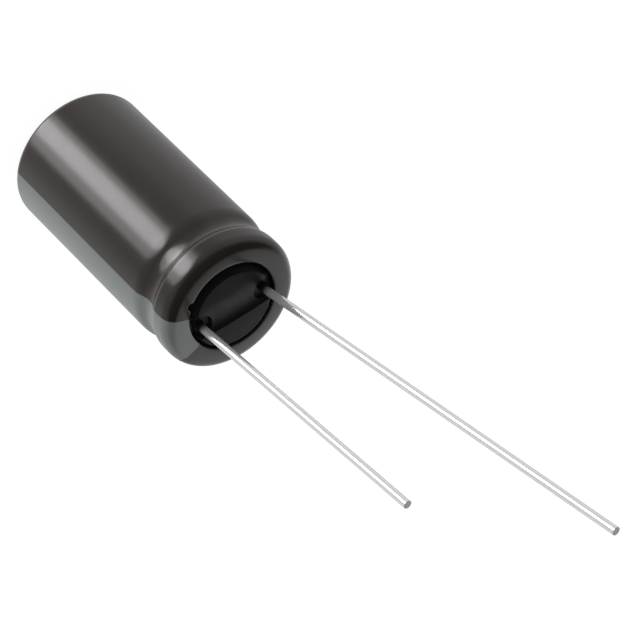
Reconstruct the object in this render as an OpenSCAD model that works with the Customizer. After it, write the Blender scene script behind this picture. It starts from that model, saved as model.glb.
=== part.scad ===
// Radial aluminium electrolytic capacitor, 10 by 20 mm with leads about 5 mm apart.
// Millimetres. It stands on its closed end: the origin is the centre of that end,
// +Z runs along the can to the leads, and X runs from the cathode lead to the anode lead.

/* [Can] */
// Outside diameter of the aluminium can
can_d = 10; // [8:0.1:13]
// Height of the can, from its closed end to the top of its rolled rim
can_h = 19.45; // [18:0.05:30]
// Thickness of the can's metal
can_wall = 0.25; // [0.2:0.01:0.3]
// Outside radius of the corner at the closed end
corner_r = 0.45; // [0.35:0.01:0.8]
// Outside radius of the rolled rim
curl_r = 0.76; // [0.65:0.01:0.8]
// How far round the rim is rolled, until its lip bites into the seal
curl_sweep = 200; // [190:1:210]

/* [Bead groove] */
// From the top of the rim down to the groove's upper edge
groove_below_rim = 1.4; // [1.3:0.01:1.7]
// Width of the groove, from edge to edge
groove_w = 2.74; // [2.5:0.01:3]
// Depth of the groove in the can
groove_depth = 0.6; // [0.5:0.01:0.7]
// Radius of the shoulder on the body's side of the groove
body_shoulder_r = 1.8; // [1.2:0.05:2]
// Radius of the shoulder on the rim's side of the groove
rim_shoulder_r = 0.36; // [0.35:0.01:0.5]

/* [Pressure vent] */
// Length of each of the two crossed score lines in the closed end
vent_length = 5; // [3:0.1:6]
// Width of a score line at the surface
vent_width = 0.35; // [0.2:0.01:0.5]
// Depth of a score line
vent_depth = 0.12; // [0.05:0.01:0.15]

/* [Sleeve] */
// Thickness of the shrunk film
sleeve_wall = 0.2; // [0.1:0.01:0.25]
// Depth of the groove in the film, which bridges the can's deeper one
film_groove_depth = 0.34; // [0.2:0.01:0.45]
// Mean radius of the opening that the film leaves at the lead end
lead_end_opening_r = 3.45; // [3.4:0.01:3.6]
// How much longer that opening is one way, and shorter the other, than its mean
opening_oval = 0.18; // [0:0.01:0.2]
// Bearing of the opening's long way, in degrees
opening_turn = 105; // [0:1:180]
// How far the opening lies off the can's axis, towards +Y
opening_off = 0.12; // [0:0.01:0.15]
// Radius of the opening that the film leaves at the closed end
closed_end_opening_r = 3.6; // [3.2:0.01:3.8]
// Radius of the droop where the film runs inwards from the rim
film_droop_r = 4; // [3:0.1:8]

/* [Rubber seal] */
// From the top of the can's rim down to the seal's inner face
seal_depth = 4.75; // [4.5:0.05:5.2]
// Radius of the raised part between the leads
plateau_r = 3.05; // [3:0.01:3.1]
// How far the raised part's edge stands above the shoulder around it
plateau_rise = 0.55; // [0.4:0.01:0.6]
// How far the raised part's edge stands above the top of the can's rim
plateau_above_rim = 0.4; // [0.2:0.01:0.5]
// How far the middle of the raised part is domed above its edge
plateau_dome = 0.1; // [0.05:0.01:0.2]
// Radius of the edge of the raised part
plateau_edge_r = 0.15; // [0.05:0.01:0.2]
// Width of the channel from lead to lead
channel_w = 1.5; // [1.2:0.05:1.6]
// Depth of the channel below the raised part's edge
channel_depth = 0.25; // [0.2:0.01:0.3]
// Diameter of the dimple around each lead
dimple_d = 1.7; // [1.6:0.05:1.8]
// Depth of the dimple below the channel
dimple_depth = 0.25; // [0.1:0.01:0.3]
// Room around the lead in the seal
lead_clearance = 0.05; // [0.03:0.01:0.1]

/* [Leads] */
// Distance between the two leads where they leave the seal
lead_pitch = 5.2; // [4.8:0.05:5.3]
// Diameter of a lead
lead_d = 0.6; // [0.5:0.05:0.7]
// Length of the anode lead beyond its bend
anode_length = 33.8; // [15:0.1:40]
// Lean of the anode lead away from the cathode, in degrees
anode_lean_x = 6.6; // [0:0.1:8]
// Lean of the anode lead towards +Y, in degrees
anode_lean_y = 3.5; // [0:0.1:8]
// Length of the cathode lead beyond its bend
cathode_length = 22; // [10:0.1:40]
// Lean of the cathode lead towards the anode, in degrees
cathode_lean_x = 3.1; // [0:0.1:4]
// Lean of the cathode lead towards +Y, in degrees
cathode_lean_y = 1.4; // [0:0.1:8]
// Height of the leads' bends above the edge of the seal's raised part
bend_rise = 0.2; // [0.15:0.05:0.5]
// How much thicker a lead is, on the radius, where it is bent
bend_swell = 0.01; // [0.005:0.001:0.02]

/* [Tabs] */
// Diameter of a tab's round shank in the seal
shank_d = 1.4; // [1.2:0.05:1.5]
// Height of the weld cone between the shank and the lead
weld_h = 0.5; // [0.4:0.01:0.6]
// Width of a tab's flat paddle
paddle_w = 2; // [1.6:0.1:2.4]
// Thickness of a tab's flat paddle
paddle_t = 0.25; // [0.2:0.01:0.3]
// From the foil's lower edge up to the end of the paddle
paddle_foot = 1.5; // [0.5:0.1:4]
// From the winding up to where the shank starts to widen out of the paddle
shank_foot = 0.2; // [0.1:0.05:0.4]

/* [Winding] */
// Radius of the hole that the winding pin leaves
core_r = 0.8; // [0.7:0.05:1]
// Room between the winding and the seal, which the tabs cross
tab_room = 1.1; // [0.8:0.05:2]
// Thickness of a paper separator
paper_t = 0.05; // [0.04:0.01:0.06]
// How far the paper stands out beyond the foil at each end
paper_margin = 0.8; // [0.5:0.1:1.2]
// Thickness of the anode foil
anode_foil_t = 0.1; // [0.09:0.01:0.11]
// Thickness of the cathode foil
cathode_foil_t = 0.05; // [0.04:0.01:0.06]
// How far the closing tape stops short of the paper at each end
tape_margin = 2; // [0.5:0.1:3]
// Thickness of the closing tape
tape_t = 0.06; // [0.04:0.01:0.08]
// Least room between the winding and the can
winding_clearance = 0.08; // [0.05:0.01:0.12]

/* [Hidden] */
$fn = 96;
eps = 0.01;

can_r = can_d / 2;
can_floor_z = sleeve_wall;
can_top_z = can_floor_z + can_h;
curl_z = can_top_z - curl_r;
curl_x = can_r - curl_r;
groove_top_z = can_top_z - groove_below_rim;
groove_foot_z = groove_top_z - groove_w;
// The film runs inwards far enough for the opening to be cut out of it
film_reach_r = lead_end_opening_r - opening_oval - opening_off - eps;
opening_step = 6;

plateau_z = can_top_z + plateau_above_rim;
crown_z = plateau_z + plateau_dome;
shoulder_z = plateau_z - plateau_rise;
channel_z = plateau_z - channel_depth;
dimple_z = channel_z - dimple_depth;
seal_z = can_top_z - seal_depth;
seal_chamfer = 0.3;
// The lip leaves the seal's shoulder where its round flank comes up through it
lip_leaves_seal = 180 - asin((shoulder_z - curl_z) / curl_r);

lead_x = lead_pitch / 2;
lead_r = lead_d / 2;
shank_r = shank_d / 2;
throat_r = lead_r + lead_clearance;
weld_below_dimple = 0.4;
weld_top_z = dimple_z - weld_below_dimple;
weld_z = weld_top_z - weld_h;
bend_z = plateau_z + bend_rise;

// The winding stands on the can's floor, and the paper's width is its height
paper_z = can_floor_z + can_wall;
paper_top_z = seal_z - tab_room;
paper_w = paper_top_z - paper_z;
foil_z = paper_z + paper_margin;
foil_w = paper_w - 2 * paper_margin;
tape_z = paper_z + tape_margin;
tape_w = paper_w - 2 * tape_margin;
shank_foot_z = paper_top_z + shank_foot;

// The winding's layers, counted outwards from the core
CATHODE_FOIL = 0;
INNER_SEPARATOR = 1;
ANODE_FOIL = 2;
OUTER_SEPARATOR = 3;
layer_t = [cathode_foil_t, paper_t, anode_foil_t, paper_t];
layer_base = [0, cathode_foil_t, cathode_foil_t + paper_t, cathode_foil_t + paper_t + anode_foil_t];
winding_pitch = cathode_foil_t + 2 * paper_t + anode_foil_t;
winding_step = 9;
winding_room = can_r - can_wall - winding_clearance - tape_t - paddle_t - core_r;
// The last turn's own stack of layers needs one pitch more than its turns do
turns = floor(winding_room / winding_pitch) - 1;
winding_end = 360 * turns;
// Where the strips start and stop short of the last turn's end, all on whole steps, so that
// neighbouring faces share their corners
anode_foil_start = 20 * winding_step;
anode_foil_short = 14 * winding_step;
cathode_foil_start = 7 * winding_step;
cathode_foil_short = 3 * winding_step;
inner_separator_short = winding_step;
tape_wrap = 32 * winding_step;
tape_past_end = 5 * winding_step;
tape_step_down = 2 * winding_step;

// Each tab lies on the outside of its foil, in the turn that runs under its lead
function plain_r(turn_deg, layer) = core_r + winding_pitch * turn_deg / 360 + layer_base[layer];
function tab_turn(layer, bearing) =
    360 * floor((lead_x - paddle_t / 2 - core_r - layer_base[layer] - layer_t[layer]) / winding_pitch
                - bearing / 360) + bearing;
anode_tab_turn = tab_turn(ANODE_FOIL, 0);
cathode_tab_turn = tab_turn(CATHODE_FOIL, 180);
function tab_half_span(turn_deg, layer) =
    winding_step * round(asin(paddle_w / 2 / plain_r(turn_deg, layer)) / winding_step);

// Points of an arc about c, from bearing a0 to bearing a1
function arc(c, r, a0, a1, n) =
    [for (i = [0:n]) c + r * [cos(a0 + (a1 - a0) * i / n), sin(a0 + (a1 - a0) * i / n)]];

// A point at a bearing and a distance from the axis
function at(turn_deg, r) = r * [cos(turn_deg), sin(turn_deg)];

// A groove of a given depth is two shoulders and a root that run into each other and span
// its width: how far its deepest line lies above its foot, and the radius of its root
function root_rise(depth) =
    (groove_w + 2 * depth * (body_shoulder_r - rim_shoulder_r) / groove_w) / 2;
function root_r(depth) =
    (pow(root_rise(depth), 2) + pow(depth, 2)) / (2 * depth) - body_shoulder_r;

// The outline of the side, with a groove of the given depth, held off the can's outer face
// by d, from the closed end's corner up to the crest of the rolled rim
function side_path(d, depth) = let(
        body_turn = asin(root_rise(depth) / (body_shoulder_r + root_r(depth))),
        rim_turn = asin((groove_w - root_rise(depth)) / (rim_shoulder_r + root_r(depth))),
        root_c = [can_r - depth + root_r(depth), groove_foot_z + root_rise(depth)])
    concat(
        arc([can_r - corner_r, can_floor_z + corner_r], corner_r + d, -90, 0, 8),
        arc([can_r - body_shoulder_r, groove_foot_z], body_shoulder_r + d, 0, body_turn, 6),
        arc(root_c, root_r(depth) - d, 180 + body_turn, 180 - rim_turn, 10),
        arc([can_r - rim_shoulder_r, groove_top_z], rim_shoulder_r + d, -rim_turn, 0, 6),
        arc([curl_x, curl_z], curl_r + d, 0, 90, 8));

// The outline of the rim beyond its crest, down to the lip
function lip_path(d) = arc([curl_x, curl_z], curl_r + d, 90, curl_sweep, 10);

// The outline of the film beyond the crest, where it runs inwards over the seal
function film_path(d) =
    arc([curl_x, can_top_z - film_droop_r], film_droop_r + d,
        90, 90 + asin((curl_x - film_reach_r) / film_droop_r), 6);

function reversed(list) = [for (i = [len(list) - 1:-1:0]) list[i]];

module turned(points) {
    rotate_extrude() polygon(points);
}

// The opening at the lead end. The flat tube that was shrunk leaves it a little oval
module lead_end_opening() {
    translate([0, opening_off, curl_z])
        linear_extrude(height = curl_r + sleeve_wall + eps)
            polygon([for (bearing = [0:opening_step:360 - opening_step])
                at(bearing, lead_end_opening_r + opening_oval * cos(2 * (bearing - opening_turn)))]);
}

module sleeve() {
    color([0.23, 0.21, 0.20])
        difference() {
            turned(concat(
                [[closed_end_opening_r, can_floor_z], [closed_end_opening_r, 0]],
                side_path(sleeve_wall, film_groove_depth), film_path(sleeve_wall),
                reversed(film_path(0)), reversed(side_path(0, film_groove_depth))));
            lead_end_opening();
        }
}

module vent_score() {
    translate([0, 0, can_floor_z])
        rotate([90, 0, 0])
            linear_extrude(height = vent_length, center = true)
                polygon([[-vent_width / 2, -eps], [vent_width / 2, -eps],
                         [vent_width / 6, vent_depth], [-vent_width / 6, vent_depth]]);
}

module can() {
    color([0.80, 0.81, 0.82])
        difference() {
            turned(concat(
                [[0, can_floor_z]],
                side_path(0, groove_depth), lip_path(0),
                reversed(lip_path(-can_wall)), reversed(side_path(-can_wall, groove_depth)),
                [[0, paper_z]]));
            for (bearing = [45, 135])
                rotate([0, 0, bearing]) vent_score();
        }
}

// The round shank of a tab and the weld cone on it, which the seal's bore follows
module shank_form(foot_z) {
    turned([[0, foot_z], [shank_r, foot_z], [shank_r, weld_z],
            [lead_r, weld_top_z], [0, weld_top_z]]);
}

module seal_bore() {
    shank_form(seal_z - eps);
    translate([0, 0, weld_z])
        cylinder(r = throat_r, h = crown_z - weld_z);
    translate([0, 0, dimple_z])
        cylinder(d = dimple_d, h = crown_z - dimple_z);
}

// The raised part's domed top, from its rounded edge in to the axis
function dome_path() = let(
        half_w = plateau_r - plateau_edge_r,
        dome_r = (pow(half_w, 2) + pow(plateau_dome, 2)) / (2 * plateau_dome))
    arc([0, crown_z - dome_r], dome_r, acos(half_w / dome_r), 90, 6);

module seal_body() {
    turned(concat(
        [[0, seal_z], [can_r - can_wall - seal_chamfer, seal_z]],
        [[can_r - can_wall, seal_z + seal_chamfer]],
        [for (p = side_path(-can_wall, groove_depth)) if (p[1] > seal_z + seal_chamfer) p],
        lip_path(-can_wall),
        [for (p = reversed(lip_path(0))) if (p[1] < shoulder_z) p],
        [[curl_x, curl_z] + at(lip_leaves_seal, curl_r)],
        [[plateau_r, shoulder_z]],
        arc([plateau_r - plateau_edge_r, plateau_z - plateau_edge_r], plateau_edge_r, 0, 75, 4),
        dome_path()));
}

module rubber_seal() {
    color([0.10, 0.10, 0.10])
        difference() {
            seal_body();
            translate([-can_r, -channel_w / 2, channel_z])
                cube([can_d, channel_w, crown_z - channel_z]);
            for (side = [-1, 1])
                translate([side * lead_x, 0, 0]) seal_bore();
        }
}

// A wire from the weld up through the seal, then straight on along its lean. The wire
// swells a little where it was bent
module lead(length, lean_x, lean_y) {
    reach = [tan(lean_x), tan(lean_y), 1];
    translate([0, 0, weld_top_z])
        cylinder(r = lead_r, h = bend_z - weld_top_z);
    translate([0, 0, bend_z]) {
        sphere(r = lead_r + bend_swell);
        rotate([0, acos(1 / norm(reach)), atan2(reach[1], reach[0])])
            cylinder(r = lead_r, h = length);
    }
}

module anode_lead() {
    color([0.86, 0.86, 0.85])
        translate([lead_x, 0, 0])
            lead(anode_length, anode_lean_x, anode_lean_y);
}

module cathode_lead() {
    color([0.86, 0.86, 0.85])
        translate([-lead_x, 0, 0])
            lead(cathode_length, cathode_lean_x, cathode_lean_y);
}

// An angle brought to within half a turn of zero
function wrapped(deg) = deg - 360 * round(deg / 360);

// How far a tab pushes out the face at turn_deg and depth: by its thickness over its own
// width, falling to nothing in one step, and only on the faces that lie outside it
function pushed_by(turn_deg, depth, tab_deg, layer) = let(
        off = wrapped(turn_deg - tab_deg),
        tab_depth = layer_base[layer] + layer_t[layer],
        outside = (turn_deg - tab_deg - off) / 360 * winding_pitch + depth - tab_depth,
        past_edge = abs(off) - tab_half_span(tab_deg, layer))
    outside > 0 ? paddle_t * max(0, min(1, 1 - past_edge / winding_step)) : 0;

// Radius of a face of the winding. depth is its place in the stack of layers, and a face
// that looks inwards lies outside a tab that shares its place
function face_r(turn_deg, depth, looks_in) = let(
        place = depth + (looks_in ? 1 : -1) * paper_t / 100)
    core_r + winding_pitch * turn_deg / 360 + depth
        + pushed_by(turn_deg, place, anode_tab_turn, ANODE_FOIL)
        + pushed_by(turn_deg, place, cathode_tab_turn, CATHODE_FOIL);

function inner_face(layer, from, to) =
    [for (a = [from:winding_step:to]) at(a, face_r(a, layer_base[layer], true))];

function outer_face(layer, from, to) =
    [for (a = [from:winding_step:to]) at(a, face_r(a, layer_base[layer] + layer_t[layer], false))];

// One strip of the winding, from its first turn's bearing to its last
module strip(layer, from, to, z, width) {
    translate([0, 0, z])
        linear_extrude(height = width)
            polygon(concat(outer_face(layer, from, to), reversed(inner_face(layer, from, to))));
}

module anode_foil() {
    color([0.55, 0.56, 0.58])
        strip(ANODE_FOIL, anode_foil_start, winding_end - anode_foil_short, foil_z, foil_w);
}

module cathode_foil() {
    color([0.68, 0.69, 0.71])
        strip(CATHODE_FOIL, cathode_foil_start, winding_end - cathode_foil_short, foil_z, foil_w);
}

module inner_separator() {
    color([0.87, 0.81, 0.66])
        strip(INNER_SEPARATOR, 0, winding_end - inner_separator_short, paper_z, paper_w);
}

module outer_separator() {
    color([0.82, 0.75, 0.60])
        strip(OUTER_SEPARATOR, 0, winding_end, paper_z, paper_w);
}

// Flat paddle between the foil and the next paper, and the shank that it was pressed from
module tab(layer, turn_deg) {
    span = tab_half_span(turn_deg, layer);
    depth = layer_base[layer] + layer_t[layer];
    paddle_x = face_r(turn_deg, depth, false) - lead_x;
    translate([0, 0, foil_z + paddle_foot])
        linear_extrude(height = seal_z - foil_z - paddle_foot - (seal_z - shank_foot_z) / 2)
            rotate([0, 0, -turn_deg])
                polygon(concat(
                    [for (a = [-span:winding_step:span])
                        at(turn_deg + a, face_r(turn_deg + a, depth, true))],
                    [for (a = [span:-winding_step:-span])
                        at(turn_deg + a, face_r(turn_deg + a, depth, false))]));
    translate([lead_x, 0, 0])
        intersection() {
            shank_form(shank_foot_z);
            rotate([90, 0, 0])
                linear_extrude(height = shank_d, center = true)
                    polygon([[paddle_x, shank_foot_z], [paddle_x + paddle_t, shank_foot_z],
                             [shank_r, seal_z], [shank_r, weld_top_z],
                             [-shank_r, weld_top_z], [-shank_r, seal_z]]);
        }
}

module anode_tab() {
    color([0.74, 0.75, 0.77])
        tab(ANODE_FOIL, anode_tab_turn);
}

module cathode_tab() {
    color([0.74, 0.75, 0.77])
        rotate([0, 0, 180])
            tab(CATHODE_FOIL, cathode_tab_turn);
}

// The face that the tape lies on: the last turn of paper, then the step down off its end
function under_tape_r(turn_deg) = let(
        depth = layer_base[OUTER_SEPARATOR] + paper_t,
        past_end = turn_deg - winding_end)
    past_end <= 0 ? face_r(turn_deg, depth, false)
        : face_r(turn_deg - 360, depth, false)
            + winding_pitch * max(0, 1 - past_end / tape_step_down);

module closing_tape() {
    bearings = [winding_end - tape_wrap:winding_step:winding_end + tape_past_end];
    color([0.86, 0.78, 0.50])
        translate([0, 0, tape_z])
            linear_extrude(height = tape_w)
                polygon(concat(
                    [for (a = bearings) at(a, under_tape_r(a) + tape_t)],
                    reversed([for (a = bearings) at(a, under_tape_r(a))])));
}

sleeve();
can();
rubber_seal();
anode_lead();
cathode_lead();
anode_tab();
cathode_tab();
anode_foil();
cathode_foil();
inner_separator();
outer_separator();
closing_tape();
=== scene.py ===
import math
import bmesh
import bpy
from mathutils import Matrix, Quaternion, Vector, noise


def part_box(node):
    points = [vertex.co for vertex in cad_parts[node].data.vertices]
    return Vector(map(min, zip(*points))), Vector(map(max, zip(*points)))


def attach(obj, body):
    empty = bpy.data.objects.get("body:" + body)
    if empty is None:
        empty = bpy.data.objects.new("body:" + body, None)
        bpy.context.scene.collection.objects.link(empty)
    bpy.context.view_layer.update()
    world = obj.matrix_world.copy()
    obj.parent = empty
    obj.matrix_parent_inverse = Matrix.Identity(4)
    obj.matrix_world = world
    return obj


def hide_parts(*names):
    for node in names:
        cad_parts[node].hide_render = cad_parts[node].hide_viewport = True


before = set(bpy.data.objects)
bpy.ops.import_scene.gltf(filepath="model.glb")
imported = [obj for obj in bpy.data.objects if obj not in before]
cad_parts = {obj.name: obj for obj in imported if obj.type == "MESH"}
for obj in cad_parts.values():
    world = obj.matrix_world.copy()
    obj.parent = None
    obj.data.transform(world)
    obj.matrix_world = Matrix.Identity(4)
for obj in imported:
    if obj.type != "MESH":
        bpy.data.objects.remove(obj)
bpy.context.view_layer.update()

MM = 0.001

# The camera stands where the photograph was taken from: a long lens about a quarter of a
# metre off, above the lead end, and rolled so that the leads point down to the right.
camera_at = Vector((-0.0702, 0.1792, 0.1772))
looks_at = Vector((0.0032, 0.0013, 0.0260))
camera_roll = math.radians(134.0)
camera_data = bpy.data.cameras.new("camera")
camera_data.sensor_width = 36.0
camera_data.lens = 208.1
camera_data.clip_start = 0.01
camera_data.clip_end = 10.0
camera = bpy.data.objects.new("camera", camera_data)
bpy.context.collection.objects.link(camera)
camera.rotation_mode = "QUATERNION"
camera.location = camera_at
unrolled = (looks_at - camera_at).to_track_quat("-Z", "Y")
camera.rotation_quaternion = unrolled @ Quaternion((0, 0, 1), camera_roll)
bpy.context.scene.camera = camera
bpy.context.scene.view_settings.view_transform = "Standard"

# The table is a plain white sheet. It is left out of reflections, so that the film mirrors
# the studio all the way round, and it keeps a faint shadow of the part.
table_white = (0.90, 0.90, 0.90, 1)
table_glow = 0.94
table_shadow_colour = (0.16, 0.16, 0.16, 1)
table_size = 4.0


def new_material(name):
    material = bpy.data.materials.new(name)
    material.use_nodes = True
    material.node_tree.nodes.clear()
    output = material.node_tree.nodes.new("ShaderNodeOutputMaterial")
    return material, output


def add_node(tree, kind, **settings):
    node = tree.nodes.new(kind)
    for name, value in settings.items():
        if name in node.inputs:
            node.inputs[name].default_value = value
        else:
            setattr(node, name, value)
    return node


table_material, table_output = new_material("white_table")
tree = table_material.node_tree
lit = add_node(tree, "ShaderNodeBsdfDiffuse", Color=table_white)
shadow = add_node(tree, "ShaderNodeBsdfDiffuse", Color=table_shadow_colour)
glow = add_node(tree, "ShaderNodeEmission", Strength=table_glow)
seen = add_node(tree, "ShaderNodeAddShader")
ray = add_node(tree, "ShaderNodeLightPath")
seen_or_lit = add_node(tree, "ShaderNodeMixShader")
tree.links.new(glow.outputs["Emission"], seen.inputs[0])
tree.links.new(shadow.outputs["BSDF"], seen.inputs[1])
tree.links.new(ray.outputs["Is Camera Ray"], seen_or_lit.inputs["Fac"])
tree.links.new(lit.outputs["BSDF"], seen_or_lit.inputs[1])
tree.links.new(seen.outputs["Shader"], seen_or_lit.inputs[2])
tree.links.new(seen_or_lit.outputs["Shader"], table_output.inputs["Surface"])

bm = bmesh.new()
bmesh.ops.create_grid(bm, x_segments=1, y_segments=1, size=table_size / 2)
table_mesh = bpy.data.meshes.new("table")
bm.to_mesh(table_mesh)
bm.free()
table = bpy.data.objects.new("table", table_mesh)
bpy.context.collection.objects.link(table)
table_mesh.materials.append(table_material)
table.visible_glossy = False
table.visible_shadow = False

# The studio round it is pale grey to the eye and gives an even light. In reflections it
# is paper below the horizon, greyer towards the lamps, and above it a dim room that a
# pale wall on the far side lights up.
room_light = 0.66
room_above = 0.07
horizon_low, horizon_high = 0.00, 0.44
paper_underneath = 0.85
underneath_from, underneath_to = -0.72, -0.92
lamps_bearing = math.radians(121.5)
far_wall_toward = Vector((0.35, -0.90, 0.26))
far_wall = 1.35
far_wall_from, far_wall_to = 0.63, 1.0
# The paper's brightness, by side: 0 is away from the lamps and 1 is towards them
paper_by_side = [(0.0, 1.2), (0.12, 0.54), (0.35, 0.74), (0.60, 0.78),
                 (0.70, 0.60), (0.77, 0.48), (0.84, 0.50)]


def smooth_range(tree, low, high, to_low=0.0, to_high=1.0, easing="SMOOTHSTEP"):
    node = add_node(tree, "ShaderNodeMapRange", interpolation_type=easing)
    for name, value in zip(("From Min", "From Max", "To Min", "To Max"), (low, high, to_low, to_high)):
        node.inputs[name].default_value = value
    return node


world = bpy.data.worlds.new("studio")
bpy.context.scene.world = world
world.use_nodes = True
tree = world.node_tree
tree.nodes.clear()
world_output = add_node(tree, "ShaderNodeOutputWorld")
toward = add_node(tree, "ShaderNodeTexCoord")
split = add_node(tree, "ShaderNodeSeparateXYZ")
lamp_side = add_node(tree, "ShaderNodeVectorMath", operation="DOT_PRODUCT")
lamp_side.inputs[1].default_value = (math.cos(lamps_bearing), math.sin(lamps_bearing), 0)
far_side = add_node(tree, "ShaderNodeVectorMath", operation="DOT_PRODUCT")
far_side.inputs[1].default_value = far_wall_toward.normalized()
half_plus_half = add_node(tree, "ShaderNodeMath", operation="MULTIPLY_ADD")
half_plus_half.inputs[1].default_value = 0.5
half_plus_half.inputs[2].default_value = 0.5
paper = add_node(tree, "ShaderNodeValToRGB")
paper.color_ramp.interpolation = "EASE"
for side, brightness in paper_by_side[2:]:
    paper.color_ramp.elements.new(side)
for stop, (side, brightness) in zip(paper.color_ramp.elements, paper_by_side):
    stop.position = side
    stop.color = (brightness, brightness, brightness, 1)
rise = smooth_range(tree, horizon_low, horizon_high)
sink = smooth_range(tree, underneath_from, underneath_to)
room = smooth_range(tree, far_wall_from, far_wall_to, room_above, far_wall, easing="LINEAR")
below = add_node(tree, "ShaderNodeMix", data_type="RGBA", B=[paper_underneath] * 3 + [1])
mirrored = add_node(tree, "ShaderNodeMix", data_type="RGBA")
sky_mirrored = add_node(tree, "ShaderNodeBackground")
sky_light = add_node(tree, "ShaderNodeBackground", Strength=room_light)
sky_seen = add_node(tree, "ShaderNodeBackground", Strength=1.0)
ray = add_node(tree, "ShaderNodeLightPath")
glossy_or_not = add_node(tree, "ShaderNodeMixShader")
seen_or_not = add_node(tree, "ShaderNodeMixShader")
tree.links.new(toward.outputs["Generated"], split.inputs["Vector"])
tree.links.new(toward.outputs["Generated"], lamp_side.inputs[0])
tree.links.new(lamp_side.outputs["Value"], half_plus_half.inputs[0])
tree.links.new(half_plus_half.outputs["Value"], paper.inputs["Fac"])
tree.links.new(toward.outputs["Generated"], far_side.inputs[0])
tree.links.new(far_side.outputs["Value"], room.inputs["Value"])
tree.links.new(split.outputs["Z"], rise.inputs["Value"])
tree.links.new(split.outputs["Z"], sink.inputs["Value"])
tree.links.new(sink.outputs["Result"], below.inputs["Factor"])
tree.links.new(paper.outputs["Color"], below.inputs["A"])
tree.links.new(rise.outputs["Result"], mirrored.inputs["Factor"])
tree.links.new(below.outputs["Result"], mirrored.inputs["A"])
tree.links.new(room.outputs["Result"], mirrored.inputs["B"])
tree.links.new(mirrored.outputs["Result"], sky_mirrored.inputs["Color"])
tree.links.new(ray.outputs["Is Glossy Ray"], glossy_or_not.inputs["Fac"])
tree.links.new(sky_light.outputs["Background"], glossy_or_not.inputs[1])
tree.links.new(sky_mirrored.outputs["Background"], glossy_or_not.inputs[2])
tree.links.new(ray.outputs["Is Camera Ray"], seen_or_not.inputs["Fac"])
tree.links.new(glossy_or_not.outputs["Shader"], seen_or_not.inputs[1])
tree.links.new(sky_seen.outputs["Background"], seen_or_not.inputs[2])
tree.links.new(seen_or_not.outputs["Shader"], world_output.inputs["Surface"])

# The main lamp is a soft box that makes the long highlight on the side. A wider and dimmer
# one behind it gives the highlight its soft edges.
lamp_centre = Vector((0, 0, 0.010))
lamp_elevation = math.radians(-38.0)


def soft_box(name, bearing, distance, width, height, radiance):
    data = bpy.data.lights.new(name, "AREA")
    data.shape = "ELLIPSE"
    data.size = width
    data.size_y = height
    area = math.pi / 4 * width * height
    data.energy = radiance * math.pi * area
    lamp = bpy.data.objects.new(name, data)
    bpy.context.collection.objects.link(lamp)
    across = math.cos(lamp_elevation)
    out = Vector((math.cos(bearing) * across, math.sin(bearing) * across, math.sin(lamp_elevation)))
    lamp.location = lamp_centre + out * distance
    lamp.rotation_euler = out.to_track_quat("Z", "Y").to_euler()
    lamp.visible_camera = False


soft_box("main_box", bearing=math.radians(119.1), distance=0.39, width=0.145, height=0.52, radiance=4.4)
soft_box("main_surround", bearing=math.radians(123.1), distance=0.41, width=0.32, height=0.58, radiance=2.5)

# The sleeve is one tube of thin plastic film, shrunk on by heat until it grips the can. It
# bridges the can's deeper groove and is drawn in over both ends, with a small nick and a
# slightly oval opening at the lead end. A pale stripe is printed along the cathode's side.
film_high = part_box("sleeve")[1]
can_low, can_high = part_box("can")
can_r = can_high.x
film_t = film_high.x - can_r
corner_r = 0.45 * MM
rim_r = 0.76 * MM
rim_x, rim_z = can_r - rim_r, can_high.z - rim_r
groove_top = can_high.z - 1.40 * MM
groove_w = 2.74 * MM
body_shoulder_r = 1.8 * MM
film_shoulder_r = 0.62 * MM
film_rim_r = 0.60 * MM
film_rim_x = can_r - film_rim_r
bridge_depth = 0.34 * MM
crown_r = 7.0 * MM
crown_tilt = math.radians(8)
opening_r = 3.55 * MM
opening_oval = 0.08 * MM
opening_turn = math.radians(105)
opening_off = 0.12 * MM
closed_opening_r = 3.6 * MM
nick_bearing = math.radians(143.5)
nick_half_width = math.radians(4.5)
nick_depth = 0.32 * MM
ripple_size = 3.2 * MM
ripple_depth = 0.014 * MM
shoulder_steps = 8
groove_steps = 14
rim_steps = 16
crown_steps = 8
edge_steps = 6
turn_steps = 288
same_point = 0.002 * MM


# Points along an arc, from one bearing to another in degrees
def arc(x, z, radius, start, end, steps):
    bearings = [math.radians(start + (end - start) * i / steps) for i in range(steps + 1)]
    return [(x + radius * math.cos(b), z + radius * math.sin(b)) for b in bearings]


# The side from the closed end's corner to the rim, held off the can's outer face. The
# groove's root is an arc that meets the body's shoulder and the rim's without a kink.
def side_face(off, depth, top_r):
    root_rise = (groove_w + 2 * depth * (body_shoulder_r - top_r) / groove_w) / 2
    root_r = (root_rise ** 2 + depth ** 2) / (2 * depth) - body_shoulder_r
    body_turn = math.degrees(math.asin(root_rise / (body_shoulder_r + root_r)))
    rim_turn = math.degrees(math.asin((groove_w - root_rise) / (top_r + root_r)))
    groove_foot = groove_top - groove_w
    corner = arc(can_r - corner_r, can_low.z + corner_r, corner_r + off, -90, 0, shoulder_steps)
    body_shoulder = arc(can_r - body_shoulder_r, groove_foot, body_shoulder_r + off,
                        0, body_turn, shoulder_steps)
    root = arc(can_r - depth + root_r, groove_foot + root_rise, root_r - off,
               180 + body_turn, 180 - rim_turn, groove_steps)
    rim_shoulder = arc(can_r - top_r, groove_top, top_r + off, -rim_turn, 0, shoulder_steps)
    return corner + body_shoulder + root + rim_shoulder


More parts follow.
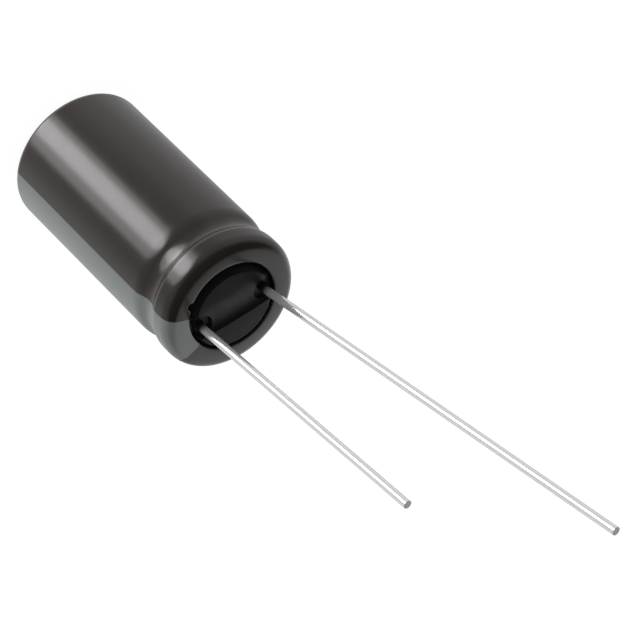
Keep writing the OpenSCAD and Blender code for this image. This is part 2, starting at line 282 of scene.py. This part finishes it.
# The end ring rises a little from the rim towards its opening
flatter = film_rim_r / rim_r
rim_end = math.degrees(math.atan(flatter / math.tan(crown_tilt)))
rim_end_x, rim_end_z = arc(0, rim_z, rim_r, 0, rim_end, 1)[1]
crown_x = film_rim_x + rim_end_x * flatter - crown_r * math.sin(crown_tilt)
crown_z = rim_end_z - crown_r * math.cos(crown_tilt)
crown_start = 90 - math.degrees(crown_tilt)
crown_end = math.degrees(math.acos((opening_r - crown_x) / crown_r))


def film_face(off):
    squeeze = (film_rim_r + off) / (rim_r + off)
    rim = [(film_rim_x + x * squeeze, z) for x, z in arc(0, rim_z, rim_r + off, 0, rim_end, rim_steps)]
    inwards = arc(crown_x, crown_z, crown_r + off, crown_start, crown_end, crown_steps)
    return side_face(off, bridge_depth, film_shoulder_r) + rim + inwards[1:]


def full_turn(outline, steps, centre=(0, 0, 0), closed=True):
    bm = bmesh.new()
    corners = [bm.verts.new((centre[0] + x, centre[1], z)) for x, z in outline]
    ends = corners[1:] + corners[:1] if closed else corners[1:]
    for start, end in zip(corners, ends):
        bm.edges.new((start, end))
    bmesh.ops.spin(bm, geom=bm.verts[:] + bm.edges[:], axis=(0, 0, 1), cent=centre,
                   angle=2 * math.pi, steps=steps, use_merge=True)
    bmesh.ops.remove_doubles(bm, verts=bm.verts[:], dist=same_point)
    bmesh.ops.recalc_face_normals(bm, faces=bm.faces[:])
    return bm


edge_r = film_t / 2
edge_bearing = math.radians(crown_end)
edge_x = crown_x + (crown_r + edge_r) * math.cos(edge_bearing)
edge_z = crown_z + (crown_r + edge_r) * math.sin(edge_bearing)
closed_end_edge = arc(closed_opening_r, edge_r, edge_r, 90, 270, edge_steps)
opening_edge = arc(edge_x, edge_z, edge_r, crown_end, crown_end + 180, edge_steps)
bm = full_turn(closed_end_edge + film_face(film_t) + opening_edge[1:-1] + film_face(0)[::-1], turn_steps)


def opening_at(bearing):
    off_nick = (bearing - nick_bearing) / nick_half_width
    return (opening_r + opening_oval * math.cos(2 * (bearing - opening_turn))
            + opening_off * math.sin(bearing) + nick_depth * math.exp(-off_nick ** 4))


def crown_height(r):
    return math.sqrt(crown_r ** 2 - (r - crown_x) ** 2)


for v in bm.verts:
    r, bearing = math.hypot(v.co.x, v.co.y), math.atan2(v.co.y, v.co.x)
    moved = r
    if v.co.z > rim_z and r < film_rim_x:
        moved += (opening_at(bearing) - opening_r) * (film_rim_x - r) / (film_rim_x - opening_r)
        v.co.z += crown_height(moved) - crown_height(r)
    moved += ripple_depth * noise.noise(v.co / ripple_size)
    v.co.x *= moved / r
    v.co.y *= moved / r

film_brown = (0.0165, 0.0118, 0.0098, 1)
film_brown_dark = (0.0135, 0.0098, 0.0082, 1)
film_clearest, film_haziest = 0.17, 0.25
film_grain = 0.006 * MM
stripe_grey = (0.162, 0.178, 0.174, 1)
stripe_bearing = math.radians(182.9)
stripe_half_width = math.radians(23.5)
stripe_edge = math.radians(0.35)


def calculate(tree, operation, *inputs):
    node = add_node(tree, "ShaderNodeMath", operation=operation)
    for socket, given in zip(node.inputs, inputs):
        if isinstance(given, (int, float)):
            socket.default_value = given
        else:
            tree.links.new(given, socket)
    return node.outputs["Value"]


def noise_field(tree, scale, detail, stretch=(1, 1, 1)):
    position = add_node(tree, "ShaderNodeTexCoord")
    sized = add_node(tree, "ShaderNodeMapping", Scale=stretch)
    field = add_node(tree, "ShaderNodeTexNoise", Scale=scale, Detail=detail)
    tree.links.new(position.outputs["Object"], sized.inputs["Vector"])
    tree.links.new(sized.outputs["Vector"], field.inputs["Vector"])
    return field.outputs["Fac"]


def bumped(tree, shader, height, distance, strength):
    bump = add_node(tree, "ShaderNodeBump", Strength=strength, Distance=distance)
    tree.links.new(height, bump.inputs["Height"])
    tree.links.new(bump.outputs["Normal"], shader.inputs["Normal"])


def smooth_object(name, bm, material, sharp_from=math.radians(50)):
    mesh = bpy.data.meshes.new(name)
    bm.to_mesh(mesh)
    bm.free()
    for face in mesh.polygons:
        face.use_smooth = True
    mesh.set_sharp_from_angle(angle=sharp_from)
    mesh.materials.append(material)
    piece = bpy.data.objects.new(name, mesh)
    bpy.context.collection.objects.link(piece)
    return piece


film, film_output = new_material("shrink_film")
tree = film.node_tree
position = add_node(tree, "ShaderNodeTexCoord")
axes = add_node(tree, "ShaderNodeSeparateXYZ")
tree.links.new(position.outputs["Object"], axes.inputs["Vector"])
bearing = calculate(tree, "ARCTAN2", axes.outputs["Y"], axes.outputs["X"])
past_stripe = calculate(tree, "SUBTRACT", bearing, stripe_bearing)
off_stripe = calculate(tree, "ABSOLUTE", calculate(tree, "WRAP", past_stripe, math.pi, -math.pi))
ink = smooth_range(tree, stripe_half_width + stripe_edge, stripe_half_width - stripe_edge)
tree.links.new(off_stripe, ink.inputs["Value"])
brown = add_node(tree, "ShaderNodeMix", data_type="RGBA", A=film_brown_dark, B=film_brown)
tree.links.new(noise_field(tree, scale=420, detail=3), brown.inputs["Factor"])
colour = add_node(tree, "ShaderNodeMix", data_type="RGBA", B=stripe_grey)
tree.links.new(ink.outputs["Result"], colour.inputs["Factor"])
tree.links.new(brown.outputs["Result"], colour.inputs["A"])
surface = add_node(tree, "ShaderNodeBsdfPrincipled", IOR=1.5)
haze = add_node(tree, "ShaderNodeMapRange")
haze.inputs["To Min"].default_value = film_clearest
haze.inputs["To Max"].default_value = film_haziest
tree.links.new(noise_field(tree, scale=700, detail=4), haze.inputs["Value"])
tree.links.new(haze.outputs["Result"], surface.inputs["Roughness"])
tree.links.new(colour.outputs["Result"], surface.inputs["Base Color"])
bumped(tree, surface, noise_field(tree, scale=900, detail=3), distance=film_grain, strength=0.35)
tree.links.new(surface.outputs["BSDF"], film_output.inputs["Surface"])

shrunk_film = smooth_object("shrunk_film", bm, film)
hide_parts("sleeve")
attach(shrunk_film, "root")
bpy.data.objects["sleeve"].material_slots[0].material = film

# The can is drawn from one aluminium disc, which leaves fine marks. Only its closed end
# shows, inside the film's ring, with the crossed score lines of the pressure vent.
can_silver = (0.80, 0.81, 0.82, 1)
can_roughness = 0.30
can_marks = 0.01 * MM
brightest_share, dullest_share = 0.85, 1.2


def metal(name, colour, roughness, grain_scale, grain_depth=0, stretch=(1, 1, 1), metallic=1.0):
    material, output = new_material(name)
    tree = material.node_tree
    surface = add_node(tree, "ShaderNodeBsdfPrincipled", Metallic=metallic)
    surface.inputs["Base Color"].default_value = colour
    dull = add_node(tree, "ShaderNodeMapRange")
    dull.inputs["To Min"].default_value = roughness * brightest_share
    dull.inputs["To Max"].default_value = roughness * dullest_share
    grain = noise_field(tree, grain_scale, detail=3, stretch=stretch)
    tree.links.new(grain, dull.inputs["Value"])
    tree.links.new(dull.outputs["Result"], surface.inputs["Roughness"])
    if grain_depth:
        bumped(tree, surface, grain, distance=grain_depth, strength=0.3)
    tree.links.new(surface.outputs["BSDF"], output.inputs["Surface"])
    return material


can_metal = metal("can_aluminium", can_silver, can_roughness, grain_scale=900, grain_depth=can_marks)
bpy.data.objects["can"].material_slots[0].material = can_metal

# The seal is moulded black rubber, pressed into the can's mouth and held by the bead
# groove and the rolled rim. Its raised middle is a shallow dome with a rounded trough from
# lead to lead, and a dimple with a rounded rim round each lead.
seal_low, seal_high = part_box("rubber_seal")
can_wall = 0.25 * MM
can_groove_depth = 0.60 * MM
rim_shoulder_r = 0.36 * MM
lip_turn = 200
seal_chamfer = 0.30 * MM
plateau_r = 3.05 * MM
plateau_z = can_high.z + 0.40 * MM
plateau_edge_r = 0.15 * MM
plateau_edge_turn = 84
shoulder_z = plateau_z - 0.55 * MM
trough_depth = 0.19 * MM
trough_off = 0.25 * MM
trough_far_w = 0.75 * MM
trough_near_w = 1.85 * MM
lead_x = 2.6 * MM
dimple_r = 0.85 * MM
dimple_depth = 0.45 * MM
dimple_rim = 0.10 * MM
lead_hole_r = 0.35 * MM
lead_hole_foot = plateau_z - 0.90 * MM
lip_steps = 20
lip_back_steps = 10
hole_steps = 48
ring_gap = 0.04 * MM

seal_r = can_r - can_wall
chamfer_top = seal_low.z + seal_chamfer
dome_edge = plateau_r - plateau_edge_r
dome_rise = seal_high.z - plateau_z
dome_r = (dome_edge ** 2 + dome_rise ** 2) / (2 * dome_rise)
trough_r = (trough_far_w ** 2 + trough_depth ** 2) / (2 * trough_depth)
rings = int(dome_edge / ring_gap)


def dome_z(x):
    return seal_high.z - dome_r + math.sqrt(dome_r ** 2 - x ** 2)


foot = [(0, seal_low.z), (seal_r - seal_chamfer, seal_low.z), (seal_r, chamfer_top)]
seal_wall = [(x, z) for x, z in side_face(-can_wall, can_groove_depth, rim_shoulder_r) if z > chamfer_top]
under_lip = arc(rim_x, rim_z, rim_r - can_wall, 0, lip_turn, lip_steps)
lip_back = [(x, z) for x, z in arc(rim_x, rim_z, rim_r, lip_turn, 90, lip_back_steps) if z < shoulder_z]
plateau_edge = arc(dome_edge, plateau_z - plateau_edge_r, plateau_edge_r, 0, plateau_edge_turn, edge_steps)
dome = [(x, dome_z(x)) for x in (dome_edge * (1 - i / rings) for i in range(rings + 1))]
bm = full_turn(foot + seal_wall + under_lip + lip_back + plateau_edge + dome, turn_steps, closed=False)


def eased(value, low, high):
    share = min(1, max(0, (value - low) / (high - low)))
    return share * share * (3 - 2 * share)


def trough_at(y):
    past = y + trough_off
    if past > 0:
        return trough_depth * eased(past, trough_near_w, 0)
    return math.sqrt(max(0, trough_r ** 2 - past ** 2)) - trough_r + trough_depth


def dimple_at(x, y):
    to_lead = math.hypot(abs(x) - lead_x, y)
    return dimple_depth * eased(to_lead, dimple_r + dimple_rim, dimple_r - dimple_rim)


for v in bm.verts:
    if v.co.z > plateau_z - plateau_edge_r:
        v.co.z -= max(0, trough_at(v.co.y), dimple_at(v.co.x, v.co.y))

rubber_black = (0.0045, 0.0050, 0.0047, 1)
rubber_smoothest, rubber_roughest = 0.34, 0.44
grain_from, grain_to = 0.3, 0.7
rubber, rubber_output = new_material("seal_rubber")
tree = rubber.node_tree
surface = add_node(tree, "ShaderNodeBsdfPrincipled", IOR=1.21)
surface.inputs["Base Color"].default_value = rubber_black
dull = smooth_range(tree, grain_from, grain_to, rubber_smoothest, rubber_roughest)
tree.links.new(noise_field(tree, scale=1200, detail=4), dull.inputs["Value"])
tree.links.new(dull.outputs["Result"], surface.inputs["Roughness"])
tree.links.new(surface.outputs["BSDF"], rubber_output.inputs["Surface"])

# Each lead has a hole down to its weld. The tabs' bores below the holes are left out.
moulded_seal = smooth_object("moulded_seal", bm, rubber)
hole_top = seal_high.z + MM
hole = [(0, lead_hole_foot), (lead_hole_r, lead_hole_foot), (lead_hole_r, hole_top), (0, hole_top)]
cutters = []
for way in (-1, 1):
    bm = full_turn(hole, hole_steps, centre=(way * lead_x, 0, 0), closed=False)
    cutters.append(smooth_object("lead_hole", bm, rubber))
    cut = moulded_seal.modifiers.new("lead_hole", "BOOLEAN")
    cut.operation = "DIFFERENCE"
    cut.solver = "EXACT"
    cut.object = cutters[-1]
bpy.context.view_layer.update()
drilled = moulded_seal.evaluated_get(bpy.context.evaluated_depsgraph_get())
moulded_seal.data = bpy.data.meshes.new_from_object(drilled)
moulded_seal.modifiers.clear()
for cutter in cutters:
    bpy.data.objects.remove(cutter)
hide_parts("rubber_seal")
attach(moulded_seal, "root")
bpy.data.objects["rubber_seal"].material_slots[0].material = rubber

# The leads are tinned wire, drawn through a die, which leaves faint lines along it, and cut
# off with side cutters. The cut faces show the dull steel core. Where a wire leaves the seal,
# its colour is darkened: painted shade and painted reflection of the rubber there.
wire_silver = (0.77, 0.77, 0.76, 1)
wire_roughness = 0.12
wire_metallic = 0.62
drawn_along = (1, 1, 0.12)
cut_grey = (0.26, 0.25, 0.24, 1)
cut_faces_up = 0.85
# Painted shade: the wire's colour goes dark just above the seal, in place of shadow and reflection
painted_foot_shade = (0.03, 0.03, 0.03, 1)
painted_shade_from, painted_shade_to = 20.00 * MM, 20.75 * MM

wire = metal("tinned_wire", wire_silver, wire_roughness, grain_scale=700, stretch=drawn_along,
             metallic=wire_metallic)
tree = wire.node_tree
surface = next(node for node in tree.nodes if node.type == "BSDF_PRINCIPLED")
facing = add_node(tree, "ShaderNodeNewGeometry")
facing_axes = add_node(tree, "ShaderNodeSeparateXYZ")
is_cut = calculate(tree, "GREATER_THAN", facing_axes.outputs["Z"], cut_faces_up)
cut_or_drawn = add_node(tree, "ShaderNodeMix", data_type="RGBA", A=wire_silver, B=cut_grey)
tree.links.new(facing.outputs["Normal"], facing_axes.inputs["Vector"])
tree.links.new(is_cut, cut_or_drawn.inputs["Factor"])
position = add_node(tree, "ShaderNodeTexCoord")
axes = add_node(tree, "ShaderNodeSeparateXYZ")
# Mask for the painted shade at each wire's foot, fading out with height above the seal
above_painted_shade = smooth_range(tree, painted_shade_from, painted_shade_to)
colour = add_node(tree, "ShaderNodeMix", data_type="RGBA", A=painted_foot_shade)
tree.links.new(position.outputs["Object"], axes.inputs["Vector"])
tree.links.new(axes.outputs["Z"], above_painted_shade.inputs["Value"])
tree.links.new(above_painted_shade.outputs["Result"], colour.inputs["Factor"])
tree.links.new(cut_or_drawn.outputs["Result"], colour.inputs["B"])
tree.links.new(colour.outputs["Result"], surface.inputs["Base Color"])
for name in ("anode_lead", "cathode_lead"):
    bpy.data.objects[name].material_slots[0].material = wire

# The tabs are pressed from soft aluminium, with a smooth round shank and a paddle that is
# stitched flat against its foil.
tab_silver = (0.74, 0.75, 0.77, 1)
tab_roughness = 0.34
tab_marks = 0.01 * MM
tab_metal = metal("tab_aluminium", tab_silver, tab_roughness, grain_scale=1400, grain_depth=tab_marks)
for name in ("anode_tab", "cathode_tab"):
    bpy.data.objects[name].material_slots[0].material = tab_metal

# The two wound foils are aluminium. The anode's is etched until it is matt grey, and the
# cathode's is plainer and brighter.
etched_grey = (0.42, 0.43, 0.45, 1)
etched_roughness = 0.62
etched_pits = 0.02 * MM
plain_silver = (0.62, 0.63, 0.65, 1)
plain_roughness = 0.42
plain_marks = 0.01 * MM
etched = metal("etched_foil", etched_grey, etched_roughness, grain_scale=5200, grain_depth=etched_pits)
bpy.data.objects["anode_foil"].material_slots[0].material = etched
plain = metal("plain_foil", plain_silver, plain_roughness, grain_scale=3000, grain_depth=plain_marks)
bpy.data.objects["cathode_foil"].material_slots[0].material = plain

# The separators are kraft paper, soaked in electrolyte, and the closing tape that holds
# the wound element shut is a thin amber film.
kraft_pale, kraft_deep = (0.72, 0.62, 0.42, 1), (0.56, 0.46, 0.28, 1)
kraft_roughness = 0.7
kraft_fibre = 0.02 * MM
amber_pale, amber_deep = (0.75, 0.62, 0.28, 1), (0.66, 0.52, 0.20, 1)
amber_roughness = 0.3
amber_grain = 0.004 * MM


def soft_sheet(name, pale, deep, roughness, grain_scale, grain_depth):
    material, output = new_material(name)
    tree = material.node_tree
    fibres = noise_field(tree, grain_scale, detail=5)
    tint = add_node(tree, "ShaderNodeMix", data_type="RGBA", A=deep, B=pale)
    surface = add_node(tree, "ShaderNodeBsdfPrincipled", Roughness=roughness)
    tree.links.new(fibres, tint.inputs["Factor"])
    tree.links.new(tint.outputs["Result"], surface.inputs["Base Color"])
    bumped(tree, surface, fibres, distance=grain_depth, strength=0.4)
    tree.links.new(surface.outputs["BSDF"], output.inputs["Surface"])
    return material


kraft = soft_sheet("separator_paper", kraft_pale, kraft_deep, kraft_roughness,
                   grain_scale=2600, grain_depth=kraft_fibre)
for name in ("inner_separator", "outer_separator"):
    bpy.data.objects[name].material_slots[0].material = kraft
tape = soft_sheet("tape_film", amber_pale, amber_deep, amber_roughness,
                  grain_scale=900, grain_depth=amber_grain)
bpy.data.objects["closing_tape"].material_slots[0].material = tape
